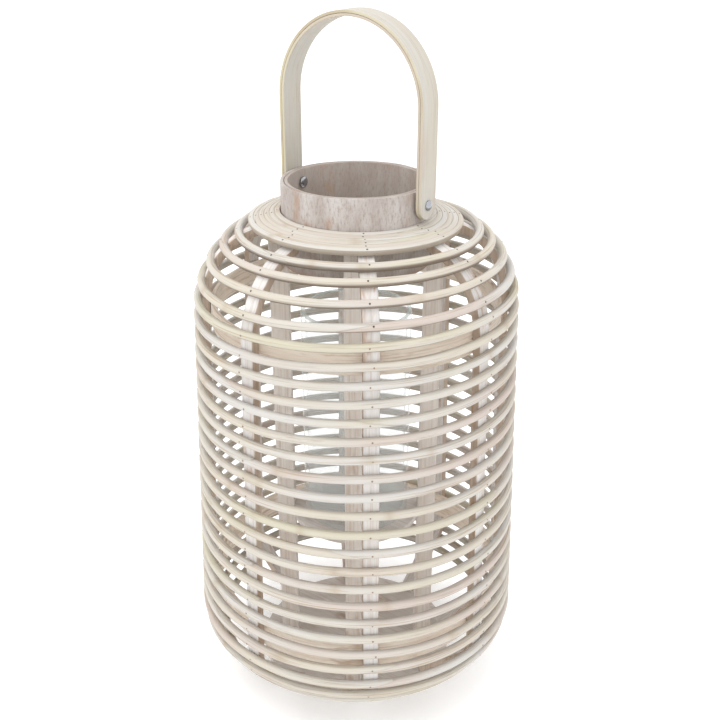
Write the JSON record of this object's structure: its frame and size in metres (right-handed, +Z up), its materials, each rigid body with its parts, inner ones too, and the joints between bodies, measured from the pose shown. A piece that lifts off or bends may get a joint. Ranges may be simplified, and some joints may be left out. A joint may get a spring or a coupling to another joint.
{
  "type": "hurricane candle lantern",
  "caption": "Cane hurricane lantern with bent ribs, a wooden collar, a lift-out glass cylinder and a folding carrying strap.",
  "frame": {"origin": "middle of the base board's underside, on the surface that the lantern stands on", "axes": "+Z up along the lantern's middle line, +X along the pin axis of the carrying strap"},
  "size_m": [0.2634, 0.2634, 0.533],
  "materials": {
    "washed_cane": "round cane under a thin cream wash, satin",
    "washed_wood": "open-grained wood under a grey-white wash, matt",
    "washed_strap": "bent cane strip under a cream wash, satin",
    "clear_glass": "clear, polished",
    "bright_steel": "bright plated steel"
  },
  "bodies": {
    "frame": {"base_board": "washed_wood", "glass_platform": "washed_wood", "post_1": "washed_wood", "post_2": "washed_wood", "post_3": "washed_wood", "post_4": "washed_wood", "rib_1": "washed_wood", "rib_2": "washed_wood", "rib_3": "washed_wood", "rib_4": "washed_wood", "rib_5": "washed_wood", "rib_6": "washed_wood", "rib_7": "washed_wood", "rib_8": "washed_wood", "upper_hoop": "washed_wood", "lower_hoop": "washed_wood", "collar_outer_ply": "washed_wood", "collar_inner_ply": "washed_wood", "plate_cane_1": "washed_cane", "plate_cane_2": "washed_cane", "plate_cane_3": "washed_cane", "plate_cane_4": "washed_cane", "plate_cane_5": "washed_cane", "plate_cane_6": "washed_cane", "cane_01": "washed_cane", "cane_02": "washed_cane", "cane_03": "washed_cane", "cane_04": "washed_cane", "cane_05": "washed_cane", "cane_06": "washed_cane", "cane_07": "washed_cane", "cane_08": "washed_cane", "cane_09": "washed_cane", "cane_10": "washed_cane", "cane_11": "washed_cane", "cane_12": "washed_cane", "cane_13": "washed_cane", "cane_14": "washed_cane", "cane_15": "washed_cane", "cane_16": "washed_cane", "cane_17": "washed_cane", "cane_18": "washed_cane", "cane_19": "washed_cane", "cane_20": "washed_cane", "cane_21": "washed_cane", "cane_22": "washed_cane", "cane_23": "washed_cane", "cane_24": "washed_cane", "cane_25": "washed_cane", "cane_26": "washed_cane", "cane_27": "washed_cane", "left_pin": "bright_steel", "left_washer": "bright_steel", "left_cap_nut": "bright_steel", "right_pin": "bright_steel", "right_washer": "bright_steel", "right_cap_nut": "bright_steel"},
    "strap": {"strap_inner_ply": "washed_strap", "strap_outer_ply": "washed_strap"},
    "glass": {"glass_cylinder": "clear_glass"}
  },
  "joints": [
    {"name": "strap_hinge", "type": "hinge", "parent": "frame", "child": "strap", "pos_m": [0, 0, 0.4072], "axis": [1, 0, 0], "range_deg": [-95, 95]},
    {"name": "glass_lift", "type": "slide", "parent": "frame", "child": "glass", "axis": [0, 0, 1], "range_m": [0, 0.19]}
  ]
}
